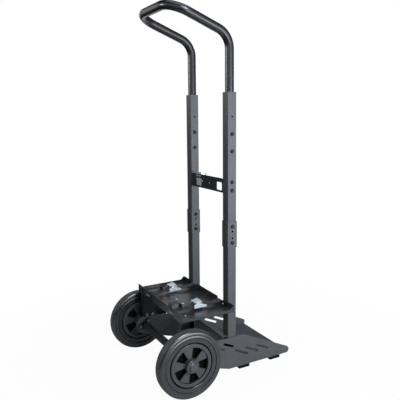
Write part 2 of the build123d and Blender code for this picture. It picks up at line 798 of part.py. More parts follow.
for place in tray_holes:
    tray -= rod_z(tray_hole_radius, place[0], tray_front + place[1], floor_cut_start, floor_cut_end)
for side in (-upright_x, upright_x):
    tray -= rod_y(hole_radius, side, lip_cut_start, lip_cut_end, tray_bolt_z)
shelf_bolt_x = upright_outer - bracket_shelf_bolt
shelf_bolt_y = axle_y + bracket_shelf_bolt_place
for side in (-shelf_bolt_x, shelf_bolt_x):
    tray -= rod_z(hole_radius, side, shelf_bolt_y, floor_cut_start, floor_cut_end)
save("tray", tray)
tray_seat = (upright_x, tray_back - sheet_thickness, tray_bolt_z)
save_bolt_group("tray", [bolted(tray_seat, (0, -1, 0), sheet_thickness + tube_size)])

# Tray brackets: channels open outwards, bolted to the side plates' tabs, with a shelf under the tray
web_inner = upright_outer - sheet_thickness
bracket_back_y = axle_y + bracket_front - bracket_width
bracket_front_y = axle_y + bracket_front
bracket_bottom = axle_z + bracket_bottom_rise
flange_bottom = axle_z + bracket_flange_rise
flange_reach = web_inner + bracket_flange_depth
bracket = block(web_inner, flange_reach, bracket_back_y, bracket_front_y, bracket_bottom, tray_bottom)
bracket = fillet(edges_at(bracket, Axis.Z, x=web_inner), bend_radius)
bracket_hollow = block(
    upright_outer,
    flange_reach + cut_past,
    bracket_back_y + sheet_thickness,
    bracket_front_y - sheet_thickness,
    bracket_bottom - cut_past,
    tray_bottom + cut_past,
)
bracket -= fillet(edges_at(bracket_hollow, Axis.Z, x=upright_outer), bend_radius - sheet_thickness)
bracket -= block(
    upright_outer,
    flange_reach + cut_past,
    bracket_back_y - cut_past,
    bracket_front_y + cut_past,
    bracket_bottom - cut_past,
    flange_bottom,
)
shelf_inner = upright_outer - bracket_shelf
shelf_bottom = tray_bottom - sheet_thickness
bracket += block(
    shelf_inner,
    upright_outer,
    bracket_back_y + bend_radius,
    bracket_front_y - bend_radius,
    shelf_bottom,
    tray_bottom,
)
for point in bracket_bolt_points:
    bracket -= rod_x(hole_radius, web_inner - cut_past, upright_outer + cut_past, *point)
bracket -= rod_z(hole_radius, shelf_bolt_x, shelf_bolt_y, shelf_bottom - cut_past, tray_bottom + cut_past)
save("tray_bracket_right", bracket)
save("tray_bracket_left", mirrored(bracket))
bracket_pairs = []
for point in bracket_bolt_points:
    bracket_pairs.append(bolted((side_outer, *point), (1, 0, 0), plate_thickness + sheet_thickness))
save_bolt_group("bracket", bracket_pairs)
shelf_seat = (shelf_bolt_x, shelf_bolt_y, tray_top)
save_bolt_group("shelf", [bolted(shelf_seat, (0, 0, 1), 2 * sheet_thickness)])

# Cam buckles, drawn with the base on z = 0, the strap bar towards -Y and the width along X
buckle_half = buckle_width / 2
buckle_front = -buckle_length / 2
buckle_back = buckle_length / 2
cheek_inner = buckle_half - buckle_sheet
ear_back = pivot_offset + 2 * lever_hub_radius
buckle_base = block(-buckle_half, buckle_half, buckle_front, buckle_back, 0, buckle_sheet)
cheek_face = outline_face([
    (buckle_front, 0),
    (buckle_back, 0),
    (buckle_back, buckle_tail_height),
    (ear_back, buckle_ear_height),
    (pivot_offset - lever_hub_radius, buckle_ear_height),
    (buckle_front, buckle_nose_height),
])
buckle_frame = buckle_base
buckle_frame += slab(cheek_face, cheek_inner, buckle_half)
buckle_frame += slab(cheek_face, -buckle_half, -cheek_inner)
for place, height in ((pivot_offset, pivot_height), (strap_bar_offset, strap_bar_height)):
    buckle_frame -= rod_x(pivot_radius, -buckle_half - cut_past, buckle_half + cut_past, place, height)


def riveted_pin(place, height):
    """A pin across the cheeks with a flat head on each end."""
    pin = rod_x(pivot_radius, -buckle_half, buckle_half, place, height)
    head_end = buckle_half + pin_head_thickness
    pin += rod_x(pin_head_radius, buckle_half, head_end, place, height)
    return pin + rod_x(pin_head_radius, -head_end, -buckle_half, place, height)


pivot_pin = riveted_pin(pivot_offset, pivot_height)
strap_bar = riveted_pin(strap_bar_offset, strap_bar_height)

# Cam lever: hub on the pivot pin, a cam nose over the strap, and a flared thumb plate
strap_pass = buckle_sheet + 2 * strap_gap + strap_thickness
nose_radius = pivot_height - strap_pass
lever_half = cheek_inner - lever_side_gap
lever_hub = Pos(pivot_offset, pivot_height) * Circle(lever_hub_radius)
nose = Circle(nose_radius) & (Pos(0, -nose_radius / 2) * Rectangle(lever_nose_width, nose_radius))
rise_angle = math.radians(lever_plate_rise)
plate_end_y = lever_plate_start_y + lever_plate_length * math.cos(rise_angle)
plate_end_z = lever_plate_start_z + lever_plate_length * math.sin(rise_angle)
web = make_face(Polyline(
    (-lever_hub_radius, 0),
    (lever_hub_radius, 0),
    ((lever_plate_start_y + 2 * plate_end_y) / 3, (lever_plate_start_z + 2 * plate_end_z) / 3),
    ((2 * lever_plate_start_y + plate_end_y) / 3, (2 * lever_plate_start_z + plate_end_z) / 3),
    close=True,
))
lever_core = lever_hub + Pos(pivot_offset, pivot_height) * (nose + web)
lever = slab(Plane.YZ * lever_core, -lever_half, lever_half)
plate_half = buckle_half - lever_plate_inset
waist_half = plate_half - lever_waist_depth
thumb_plate = make_face(Polyline(
    (-plate_half, 0),
    (plate_half, 0),
    (waist_half, lever_plate_length / 3),
    (waist_half, 2 * lever_plate_length / 3),
    (plate_half, lever_plate_length),
    (-plate_half, lever_plate_length),
    (-waist_half, 2 * lever_plate_length / 3),
    (-waist_half, lever_plate_length / 3),
    close=True,
))
thumb_place = Pos(0, pivot_offset + lever_plate_start_y, pivot_height + lever_plate_start_z)
lever += thumb_place * Rot(lever_plate_rise, 0, 0) * extrude(thumb_plate, lever_plate_thickness)
lever -= rod_x(pivot_radius + pivot_clearance, -buckle_half, buckle_half, pivot_offset, pivot_height)

# The two tray buckles lie on the straps, the upper one stands behind the cross plate, bar end up
upper_middle = cross_plate_top + upper_buckle_rise - buckle_length / 2
buckle_places = {
    "left": Pos(-strap_x, buckle_y, buckle_bottom),
    "right": Pos(strap_x, buckle_y, buckle_bottom),
    "upper": Pos(upper_buckle_x, cross_front, upper_middle) * Rot(-90, 0, 0),
}
rivet_back = cross_front + buckle_sheet
pins = []
for name, place in buckle_places.items():
    frame = place * buckle_frame
    if name == "upper":
        for spot in rivet_places:
            frame -= rod_y(rivet_radius, spot, cross_front - cut_past, rivet_back + cut_past, rivet_z)
    save(f"buckle_frame_{name}", frame)
    save(f"cam_lever_{name}", place * lever)
    pins.extend([place * pivot_pin, place * strap_bar])
save("buckle_pins", *pins)
rivets = []
for spot in rivet_places:
    rivet = rod_y(rivet_radius, spot, upright_back, rivet_back, rivet_z)
    rivet += rod_y(rivet_head_radius, spot, upright_back - rivet_head_height, upright_back, rivet_z)
    rivet += rod_y(rivet_head_radius, spot, rivet_back, rivet_back + rivet_head_height, rivet_z)
    rivets.append(rivet)
save("buckle_rivets", *rivets)


# Webbing: each front strap is looped round the tray's front lip and round the buckle's strap bar
def strap_solid(face, middle):
    """A (y, z) outline given the webbing's width."""
    return slab(Plane.YZ * face, middle - strap_width / 2, middle + strap_width / 2)


def band(points):
    """A flat band of webbing along (y, z) points that mark its middle."""
    return trace(Polyline(*points), strap_thickness)


def loop_outline(y0, y1, z0, z1, front_rounding, back_rounding):
    """A rounded outline with its own rounding at the lip's end."""
    shape = Pos((y0 + y1) / 2, (z0 + z1) / 2) * Rectangle(y1 - y0, z1 - z0)
    by_y = shape.vertices().sort_by(Axis.X)
    shape = fillet(by_y[:2], front_rounding)
    by_y = shape.vertices().sort_by(Axis.X)
    return fillet(by_y[-2:], back_rounding)


bar_y = buckle_y + strap_bar_offset
bar_z = buckle_bottom + strap_bar_height
bar_loop_inner = pivot_radius + strap_gap
bar_loop_middle = bar_loop_inner + strap_thickness / 2


def front_strap(length, height, sag):
    """A slack loop round the lip's top strip, then a run to the buckle's strap bar."""
    thick = strap_thickness
    y0 = tray_front - strap_gap - thick
    y1 = y0 + length
    z0 = opening_top - loop_front_rounding - sag
    z1 = z0 + height
    front_inside = loop_front_rounding - thick
    back_inside = loop_back_rounding - thick
    shape = loop_outline(y0, y1, z0, z1, loop_front_rounding, loop_back_rounding)
    shape -= loop_outline(y0 + thick, y1 - thick, z0 + thick, z1 - thick, front_inside, back_inside)
    leave_y = y1 - loop_back_rounding
    leave_z = z0 + thick / 2
    shape += band([(leave_y - thick, leave_z), (leave_y, leave_z), (bar_y, bar_z - bar_loop_middle)])
    shape += Pos(bar_y, bar_z) * Circle(bar_loop_inner + thick)
    return shape - Pos(bar_y, bar_z) * Circle(bar_loop_inner)


def rear_strap():
    """From under the cam, over the buckle's base, to a hook over the notch in the back lip."""
    inside_y = buckle_y + pivot_offset - lever_hub_radius
    inside_z = buckle_bottom + buckle_sheet + strap_gap + strap_thickness / 2
    leave_y = buckle_y + buckle_back
    over_z = notch_bottom + strap_gap + strap_thickness / 2
    lip_inner = tray_back - sheet_thickness - strap_gap
    lip_outer = tray_back + strap_gap + strap_thickness / 2
    return band([
        (inside_y, inside_z),
        (leave_y, inside_z),
        (lip_inner, over_z),
        (lip_outer, over_z),
        (lip_outer, over_z - strap_hook_drop),
    ])


left_front_strap = front_strap(left_loop_length, left_loop_height, left_loop_sag)
right_front_strap = front_strap(right_loop_length, right_loop_height, right_loop_sag)
save("front_strap_left", strap_solid(left_front_strap, -strap_x))
save("front_strap_right", strap_solid(right_front_strap, strap_x))
save("rear_strap_left", strap_solid(rear_strap(), -strap_x))
save("rear_strap_right", strap_solid(rear_strap(), strap_x))
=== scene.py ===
import json
import math

import bmesh
import bpy
from bpy.props import FloatProperty, FloatVectorProperty, IntProperty, PointerProperty
from mathutils import Matrix, Vector


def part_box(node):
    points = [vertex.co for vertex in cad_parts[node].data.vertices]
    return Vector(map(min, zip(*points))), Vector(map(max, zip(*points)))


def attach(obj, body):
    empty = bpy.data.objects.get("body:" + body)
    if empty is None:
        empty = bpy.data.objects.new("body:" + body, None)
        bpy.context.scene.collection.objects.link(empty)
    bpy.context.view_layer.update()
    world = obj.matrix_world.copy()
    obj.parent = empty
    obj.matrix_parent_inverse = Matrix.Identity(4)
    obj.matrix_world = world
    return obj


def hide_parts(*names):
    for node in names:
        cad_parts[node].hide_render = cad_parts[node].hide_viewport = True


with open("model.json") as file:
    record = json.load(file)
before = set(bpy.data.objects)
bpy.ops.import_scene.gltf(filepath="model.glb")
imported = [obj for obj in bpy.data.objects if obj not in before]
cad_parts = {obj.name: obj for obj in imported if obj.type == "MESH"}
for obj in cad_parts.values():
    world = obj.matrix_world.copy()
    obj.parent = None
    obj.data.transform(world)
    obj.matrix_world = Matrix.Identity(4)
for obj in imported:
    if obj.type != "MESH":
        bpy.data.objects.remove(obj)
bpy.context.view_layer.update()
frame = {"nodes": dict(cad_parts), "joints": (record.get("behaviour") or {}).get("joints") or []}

bl_info = {
    "name": "Welding Trolley",
    "version": (1, 0, 0),
    "blender": (4, 5, 0),
    "location": "3D View > Sidebar > Trolley",
    "description": "Finishes, webbing and studio for a two-wheeled welding trolley",
    "category": "Object",
}

MM = 0.001
SIDES = ("left", "right")
ACROSS = Vector((1, 0, 0))
WHITE = (1.0, 1.0, 1.0, 1.0)
# Dull black, painted as shade in hollows, holes and hidden faces
PAINTED_SHADE_BLACK = (0.003, 0.003, 0.003, 1.0)

# Places on the CAD pieces that their finishes follow, in metres. An edge between two finishes is the
# (low, high) pair over which one gives way to the other, and a zone is the pair of edges that bounds it.
AXLE = next(joint["pos_m"] for joint in frame["joints"] if joint["name"] == "wheel_right_spin")
# The uprights' insides and the sleeves' spare holes get dull black painted shade
SLEEVE_HOLE_OFFSET = 0.011
SLEEVE_HOLE_RADIUS = 0.0032
SLEEVE_HOLE_EDGE = (SLEEVE_HOLE_RADIUS + 0.0001, SLEEVE_HOLE_RADIUS + 0.0003)
TUBE_SKIN = (0.0012, 0.0006)  # depths below a tube's outer face at which its inside begins
ENAMELLED_LEG = 0.056  # how far down inside the uprights the handle's enamel goes, with dull black painted shade below
ENAMEL_FADE = 0.002

# Zones of a wheel: radii are from the axle's middle line, depths are outwards from the wheel's middle
# The pockets and the ring's inner wall get dull black painted shade
POCKET_RADII = ((0.0212, 0.0222), (0.0564, 0.0572))
POCKET_DEPTHS = ((-0.0105, -0.0095), (0.006, 0.0105))
RING_WALL_RADII = ((0.0556, 0.056), (0.0568, 0.0572))
RING_WALL_DEPTHS = ((0.0117, 0.0121), (0.0149, 0.0153))
# Below the bead's edge and on the sidewall's step the tyre gets dull black painted shade
BEAD_EDGE = (0.0718, 0.073)
SIDEWALL_STEP_RADII = ((0.0843, 0.0851), (0.0862, 0.087))
TREAD_EDGE = (0.106, 0.1067)

# Sizes of the grain in the finishes, in metres
PAINT_CLOUD = 0.055
PLATE_PATCH = 0.006
PLASTIC_CLOUD = 0.03
PLASTIC_GRAIN = 0.0012
PLASTIC_EDGE = 0.001
FOOT_GRAIN = 0.0016
RUBBER_BLOOM = 0.028
RUBBER_GRAIN = 0.0011
WEBBING_FUZZ = 0.0008
WEBBING_CLOUD = 0.018
FLOOR_MOTTLE = 0.4
CLOTH_MOTTLE = 0.2

SPECK_SHARE = 0.45  # size of the coat's specks, as a share of its orange peel
BRUSH_STRETCH = 0.12  # scale along the brush marks, which draws them out
TWILL_SLANT = 0.5  # how far the twill leans along the strap for each step across it


def colour_setting(name, description, red, green, blue):
    """A colour that a user can change."""
    return FloatVectorProperty(
        name=name,
        description=description,
        subtype="COLOR",
        size=4,
        min=0.0,
        max=1.0,
        default=(red, green, blue, 1.0),
    )


def length_setting(name, description, default):
    """A length in metres that a user can change."""
    return FloatProperty(name=name, description=description, default=default, min=0.0, unit="LENGTH")


def share_setting(name, description, default):
    """A share from nothing to full that a user can change."""
    return FloatProperty(
        name=name, description=description, default=default, min=0.0, max=1.0, subtype="FACTOR"
    )


def power_setting(name, description, default):
    """A lamp's power in watts that a user can change."""
    return FloatProperty(name=name, description=description, default=default, min=0.0, unit="POWER")


class TrolleyPaint(bpy.types.PropertyGroup):
    """Powder coat and enamel on the sheet metal and the tubes."""

    frame_colour: colour_setting("Frame", "Charcoal coat of uprights and plates", 0.045, 0.045, 0.05)
    tray_colour: colour_setting("Tray", "Black coat of tray and cross plate", 0.015, 0.015, 0.018)
    handle_colour: colour_setting("Handle", "Black enamel of the bent tube", 0.012, 0.012, 0.014)
    # A darker black than the tray's coat, as painted shade on the parts under the tray
    axle_shaded_colour: colour_setting("Axle", "Dull black of axle tube, flanges and brackets", 0.008, 0.008, 0.01)
    frame_roughness: share_setting("Frame roughness", "How matt the frame's coat is", 0.42)
    tray_roughness: share_setting("Tray roughness", "How matt the tray's coat is", 0.36)
    axle_roughness: share_setting("Axle roughness", "How matt the enamel under the tray is", 0.5)
    handle_roughness: share_setting("Handle roughness", "How matt the handle's enamel is", 0.22)
    peel_size: length_setting("Orange peel", "Width of the ripples in the coat", 0.0022)
    # The paler line along edges stands for slight rubbing and for a painted highlight
    edge_width: length_setting("Rubbed edge", "Width of the brighter line along edges", 0.0012)


class TrolleyMetal(bpy.types.PropertyGroup):
    """Plated, blackened and bare metal."""

    zinc_colour: colour_setting("Zinc", "Dull plate on bracket, flange and shelf bolts", 0.22, 0.22, 0.215)
    buckle_colour: colour_setting("Buckles", "Bluish plate on the cam buckles", 0.62, 0.68, 0.74)
    oxide_colour: colour_setting("Black bolts", "Black oxide on the button bolts", 0.003, 0.003, 0.004)
    # Painted highlight on the button heads' flat tops
    oxide_highlight_colour: colour_setting("Worn oxide", "Flat tops of the button bolts", 0.022, 0.022, 0.025)
    steel_colour: colour_setting("Axle bar", "Turned steel of axle and washers", 0.52, 0.53, 0.55)
    brush_size: length_setting("Brush marks", "Spacing of the fine marks in the plate", 0.0009)


class TrolleyWheels(bpy.types.PropertyGroup):
    """Rubber and plastic of wheels and feet."""

    tyre_colour: colour_setting("Tyres", "Black rubber", 0.014, 0.014, 0.016)
    rim_colour: colour_setting("Rims", "Dark grey moulded plastic", 0.031, 0.031, 0.034)
    cap_colour: colour_setting("Axle caps", "Grey moulded plastic", 0.042, 0.042, 0.045)
    bush_colour: colour_setting("Bushes", "Natural nylon", 0.66, 0.65, 0.6)
    foot_colour: colour_setting("Feet", "Matt black rubber", 0.004, 0.004, 0.004)
    # Paler stripes round the tread; the rubber between them is made near black
    rib_colour: colour_setting("Tread ribs", "Dusty tops of the tread's ribs", 0.07, 0.07, 0.068)
    rib_pitch: length_setting("Rib pitch", "Spacing of the ribs round the tread", 0.0066)
    mould_line_pitch: length_setting("Mould lines", "Spacing of the fine rings in the sidewall", 0.0016)


class TrolleyWebbing(bpy.types.PropertyGroup):
    """The four straps over the tray."""

    colour: colour_setting("Webbing", "Dark woven polyester", 0.014, 0.014, 0.016)
    # Painted sheen on the yarn tops
    rib_colour: colour_setting("Ribs", "Yarn tops, where the weave shines", 0.034, 0.034, 0.038)
    thread_colour: colour_setting("Thread", "Sewing thread", 0.06, 0.06, 0.066)
    width: length_setting("Width", "Width of the webbing", 0.025)
    thickness: length_setting("Thickness", "Thickness of one layer", 0.0015)
    yarn_pitch: length_setting("Yarn pitch", "Width of one yarn across the webbing", 0.0015)
    stitch_length: length_setting("Stitch", "Length of one stitch", 0.0026)
    stitch_width: length_setting("Thread width", "Thickness of the thread", 0.0007)
    steps_across: IntProperty(name="Steps across", description="Faces across the webbing", default=6, min=2)


class TrolleyStudio(bpy.types.PropertyGroup):
    """Floor, curtains, lamps and camera."""

    floor_colour: colour_setting("Floor", "Pale studio floor", 0.62, 0.62, 0.62)
    floor_radius: length_setting("Floor radius", "Radius of the floor disc", 2.4)
    room_colour: colour_setting("Room", "Dim light from all round", 0.055, 0.058, 0.062)
    lamp_colour: colour_setting("Lamps", "Cool white of the soft lamps", 0.88, 0.94, 1.0)
    curtain_colour: colour_setting("Front curtain", "Cloth that only reflections show", 0.035, 0.035, 0.037)
    ceiling_colour: colour_setting("Ceiling", "Ceiling and right curtain", 0.012, 0.012, 0.013)
    curtain_radius: length_setting("Curtain radius", "How far away the curtains hang", 2.0)
    curtain_height: length_setting("Curtain height", "How high the front curtain reaches", 0.85)
    ceiling_height: length_setting("Ceiling height", "How high the dark ceiling is", 2.8)
    side_power: power_setting("Side lamp", "Large low lamp on the right", 40.0)
    front_power: power_setting("Front lamp", "High lamp in front", 60.0)
    left_power: power_setting("Left lamp", "Small lamp on the left", 14.0)
    back_power: power_setting("Back lamp", "Fill from behind that reflections leave out", 40.0)
    top_power: power_setting("Top lamp", "Wide lamp overhead", 20.0)
    camera_place: FloatVectorProperty(
        name="Camera",
        description="Where the camera stands",
        subtype="TRANSLATION",
        unit="LENGTH",
        default=(1.47031, -0.81867, 0.85002),
    )
    camera_heading: FloatVectorProperty(
        name="Heading",
        description="The way the camera looks",
        subtype="DIRECTION",
        default=(-0.86366, 0.47623, -0.16520),
    )
    camera_roll: FloatProperty(
        name="Roll",
        description="How far the camera is tilted sideways",
        subtype="ANGLE",
        default=math.radians(-0.57),
    )
    camera_lens: FloatProperty(
        name="Lens", description="Focal length", subtype="DISTANCE_CAMERA", default=45.49
    )


class Value:
    """A shader socket that can stand in a Python expression."""

    def __init__(self, shading, socket):
        self.shading = shading
        self.socket = socket

    def maths(self, operation, first, second):
        """One Math node."""
        return self.shading.node("ShaderNodeMath", {"operation": operation}, {0: first, 1: second})

    def __add__(self, other):
        return self.maths("ADD", self, other)

    def __radd__(self, other):
        return self.maths("ADD", other, self)

    def __sub__(self, other):
        return self.maths("SUBTRACT", self, other)

    def __rsub__(self, other):
        return self.maths("SUBTRACT", other, self)

    def __mul__(self, other):
        return self.maths("MULTIPLY", self, other)

    def __rmul__(self, other):
        return self.maths("MULTIPLY", other, self)

    def __truediv__(self, other):
        return self.maths("DIVIDE", self, other)

    def __rtruediv__(self, other):
        return self.maths("DIVIDE", other, self)

    def __pow__(self, other):
        return self.maths("POWER", self, other)


class Shading:
    """The nodes of one material, or of the world."""

    def __init__(self, tree):
        self.tree = tree
        tree.nodes.clear()

    def node(self, kind, settings=None, sockets=None, output=0):
        """Any node: its settings first, then the values or links of its sockets."""
        node = self.tree.nodes.new(kind)
        for name, value in (settings or {}).items():
            setattr(node, name, value)
        for key, value in (sockets or {}).items():
            if isinstance(value, Value):
                self.tree.links.new(value.socket, node.inputs[key])
            else:
                node.inputs[key].default_value = value
        return Value(self, node.outputs[output]) if len(node.outputs) else None

    def place(self):
        """Where a point is on the piece, in metres."""
        return self.node("ShaderNodeTexCoord", output="Object")

    def facing(self):
        """The way a point's surface faces."""
        return self.node("ShaderNodeNewGeometry", output="Normal")

    def split(self, vector, axes="XYZ"):
        """The parts of a vector along the named axes."""
        return [self.node("ShaderNodeSeparateXYZ", None, {0: vector}, axis) for axis in axes]

    def from_axle(self):
        """How far a point is from the middle line of the axle."""
        y, z = self.split(self.place(), "YZ")
        return distance(y - AXLE[1], z - AXLE[2])

    def noise(self, size, detail, vector=None):
        """Cloudy grain of about the given size in metres."""
        sockets = {"Vector": vector or self.place(), "Scale": 1 / size, "Detail": detail}
        return self.node("ShaderNodeTexNoise", None, sockets)

    def stretched(self, x, y, z):
        """The piece's coordinates scaled along each axis."""
        return self.node("ShaderNodeMapping", None, {"Vector": self.place(), "Scale": (x, y, z)})

    def waves(self, value, pitch):
        """A sine wave that repeats every pitch of a value."""
        return self.node("ShaderNodeMath", {"operation": "SINE"}, {0: value * (2 * math.pi / pitch)})

    def ramp(self, value, low, high):
        """0 below the low value, 1 above the high one, smooth between."""
        sockets = {"Value": value, "From Min": low, "From Max": high}
        return self.node("ShaderNodeMapRange", {"interpolation_type": "SMOOTHSTEP"}, sockets)

    def zone(self, value, start, end):
        """1 between two edges, 0 outside them."""
        return self.ramp(value, *start) - self.ramp(value, *end)

    def edges(self, width):
        """1 on the piece's sharp edges, 0 on its flat faces."""
        rounded = self.node("ShaderNodeBevel", {"samples": 4}, {"Radius": width})
        sockets = {0: rounded, 1: self.facing()}
        along = self.node("ShaderNodeVectorMath", {"operation": "DOT_PRODUCT"}, sockets, "Value")
        return self.ramp(1 - along, low=0.03, high=0.22)

    def mix(self, first, second, share):
        """From one colour to another."""
        return self.node("ShaderNodeMix", {"data_type": "RGBA"}, {0: share, 6: first, 7: second}, 2)

    def mottled(self, colour, mask, darkest, palest):
        """A colour made darker where a mask is 0 and paler where it is 1."""
        return self.mix(shade(colour, darkest), shade(colour, palest), mask)

    def lightened(self, base, colour, mask, times, strength):
        """A base that turns partly to a paler shade of its colour where a mask is 1."""
        return self.mix(base, shade(colour, times), mask * strength)

    def bump(self, height, strength, depth):
        """A normal raised by a height."""
        return self.node("ShaderNodeBump", None, {"Height": height, "Strength": strength, "Distance": depth})

    def principled(self, **sockets):
        """A shader with its sockets named in words joined by underscores."""
        named = {}
        for key, value in sockets.items():
            named[key.replace("_", " ").title().replace("Ior", "IOR")] = value
        return self.node("ShaderNodeBsdfPrincipled", None, named)

    def painted_shade_black(self):
        """A dull black shader of painted shade for hollows and hidden faces, which hardly reflects."""
        return self.principled(base_color=PAINTED_SHADE_BLACK, roughness=0.9, specular_ior_level=0.05)

    def mix_shaders(self, first, second, share):
        """From one shader to another."""
        return self.node("ShaderNodeMixShader", None, {0: share, 1: first, 2: second})

    def seen_directly(self):
        """1 for what the camera, a reflection or a clear piece sees, 0 for light on other surfaces."""
        rays = [f"Is {kind} Ray" for kind in ("Camera", "Glossy", "Transmission")]
        camera, glossy, clear = (self.node("ShaderNodeLightPath", output=ray) for ray in rays)
        return self.node("ShaderNodeMath", {"operation": "MAXIMUM"}, {0: camera, 1: glossy + clear})

    def finish(self, shader):
        """Gives the material its shader."""
        self.node("ShaderNodeOutputMaterial", None, {"Surface": shader})

    def surface(self, **sockets):
        """A material of one shader."""
        self.finish(self.principled(**sockets))


def new_finish(name):
    """An empty material and its shading."""
    material = bpy.data.materials.new(name)
    material.use_nodes = True
    return material, Shading(material.node_tree)


def shade(colour, times):
    """A colour made lighter or darker."""
    return (*(min(1.0, part * times) for part in colour[:3]), 1.0)


def about(middle, mask, reach):
    """A value that swings about its middle as a mask goes from 0 to 1."""
    return middle - reach + 2 * reach * mask


def size_of(value):
    """A value without its sign."""
    return (value ** 2.0) ** 0.5


def distance(first, second):
    """How far apart two points are, from their offsets along two axes."""
    return (first ** 2.0 + second ** 2.0) ** 0.5


def middle_of(name):
    """The middle of a CAD piece's box."""
    low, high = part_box(name)
    return (low + high) / 2


def powder_coat(name, colour, roughness, settings, gloss=0.5, painted_shade_mask=None):
    """A baked coat: faintly cloudy, with orange peel, edges made paler as slight rubbing and as a painted
    highlight, and dull black painted shade where a mask is given.
    """
    material, look = new_finish(name)
    cloud = look.noise(PAINT_CLOUD, detail=5.0)
    speck = look.noise(settings.peel_size * SPECK_SHARE, detail=2.0)
    peel = look.noise(settings.peel_size, detail=1.0)
    # Edges made paler, as slight rubbing and as a painted highlight
    rubbed_and_highlit = look.edges(settings.edge_width)
    base = look.mottled(colour, cloud, darkest=0.82, palest=1.2)
    base = look.lightened(base, colour, look.ramp(speck, low=0.62, high=0.78), times=1.7, strength=0.35)
    base = look.lightened(base, colour, rubbed_and_highlit, times=2.2, strength=0.45)
    coat = look.principled(
        base_color=base,
        roughness=about(roughness, cloud, reach=0.07) - 0.08 * rubbed_and_highlit,
        specular_ior_level=gloss,
        normal=look.bump(peel, strength=0.12, depth=0.0003),
    )
    # Dull black painted shade where the mask is 1
    if painted_shade_mask:
        coat = look.mix_shaders(coat, look.painted_shade_black(), painted_shade_mask(look))
    look.finish(coat)
    return material


def tube_shade_mask(look):
    """Where shade is painted: 1 on the inside faces of the uprights and in the spare holes of the sleeves, 0
    elsewhere.
    """
    low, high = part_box("lower_upright_right")
    skin = [(high.x - low.x) / 2 - depth for depth in TUBE_SKIN]
    middle = middle_of("lower_upright_right")
    joint = middle_of("joint_sleeve_right").z
    x, y, z = look.split(look.place())
    across = size_of(x) - middle.x
    along = y - middle.y
    inside = 0.0
    for place, normal in zip((across, along), look.split(look.facing(), "XY")):
        flat = look.ramp(size_of(normal), low=0.95, high=0.99)
        inside = inside + flat * (1 - look.ramp(size_of(place), *skin))
    from_hole = distance(along, size_of(z - joint) - SLEEVE_HOLE_OFFSET)
    return inside + (1 - look.ramp(from_hole, *SLEEVE_HOLE_EDGE))


def handle_enamel(paint):
    """Smooth gloss enamel, with dull black painted shade where the legs always stand inside the uprights."""
    material, look = new_finish("handle_enamel")
    [height] = look.split(look.place(), "Z")
    cloud = look.noise(PAINT_CLOUD, detail=4.0)
    enamel = look.principled(
        base_color=look.mottled(paint.handle_colour, cloud, darkest=0.85, palest=1.2),
        roughness=paint.handle_roughness + 0.05 * cloud,
    )
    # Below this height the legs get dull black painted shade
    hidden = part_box("upper_upright_right")[1].z - ENAMELLED_LEG
    above = look.ramp(height, low=hidden - ENAMEL_FADE, high=hidden)
    look.finish(look.mix_shaders(look.painted_shade_black(), enamel, above))
    return material


def plated(name, colour, settings, roughness, metallic=1.0):
    """Plated or turned metal: fine brush marks and patchy brightness."""
    material, look = new_finish(name)
    patch = look.noise(PLATE_PATCH, detail=3.0)
    brush = look.noise(settings.brush_size, detail=2.0, vector=look.stretched(BRUSH_STRETCH, 1.0, 1.0))
    look.surface(
        base_color=look.mottled(colour, patch, darkest=0.8, palest=1.1),
        metallic=metallic,
        roughness=about(roughness, patch, reach=0.06),
        normal=look.bump(brush, strength=0.1, depth=0.0001),
    )
    return material


def black_oxide(metal):
    """Dull black oxide, with the heads' flat tops coloured paler as a painted highlight."""
    material, look = new_finish("bolt_black_oxide")
    patch = look.noise(PLATE_PATCH, detail=3.0)
    [sideways] = look.split(look.facing(), "X")
    # Faces across the trolley, where the heads' flat tops get a painted highlight
    flat = look.ramp(size_of(sideways), low=0.9, high=0.98)
    base = look.mottled(metal.oxide_colour, patch, darkest=0.8, palest=1.1)
    look.surface(
        base_color=look.mix(base, metal.oxide_highlight_colour, flat),
        roughness=about(0.38, patch, reach=0.06),
        specular_ior_level=0.12,
    )
    return material


def plastic(look, colour, roughness, grain, gloss):
    """A shader for plastic or rubber from a mould: a fine spark-eroded grain, paler along the edges as wear
    and as a painted highlight.
    """
    cloud = look.noise(PLASTIC_CLOUD, detail=4.0)
    pits = look.noise(grain, detail=2.0)
    base = look.mottled(colour, cloud, darkest=0.85, palest=1.18)
    # The edges are made paler as wear and as a painted highlight
    return look.principled(
        base_color=look.lightened(base, colour, look.edges(PLASTIC_EDGE), times=1.6, strength=0.4),
        roughness=about(roughness, pits, reach=0.05),
        specular_ior_level=gloss,
        normal=look.bump(pits, strength=0.18, depth=0.0002),
    )


def moulded(name, colour, roughness, grain=PLASTIC_GRAIN, gloss=0.5):
    """Moulded plastic or rubber all over a piece."""
    material, look = new_finish(name)
    look.finish(plastic(look, colour, roughness, grain, gloss))
    return material


def rim_plastic(wheels):
    """Moulded plastic on the spokes' faces, with dull black painted shade in the pockets between them and on
    the ring's inner wall.
    """
    material, look = new_finish("rim_plastic")
    [x] = look.split(look.place(), "X")
    outwards = size_of(x) - abs(AXLE[0])
    radius = look.from_axle()
    # Dull black painted shade in the pockets and on the ring's inner wall
    pocket_shade = look.zone(outwards, *POCKET_DEPTHS) * look.zone(radius, *POCKET_RADII)
    ring_wall_shade = look.zone(radius, *RING_WALL_RADII) * look.zone(outwards, *RING_WALL_DEPTHS)
    face = plastic(look, wheels.rim_colour, roughness=0.45, grain=PLASTIC_GRAIN, gloss=0.5)
    look.finish(look.mix_shaders(face, look.painted_shade_black(), pocket_shade + ring_wall_shade))
    return material


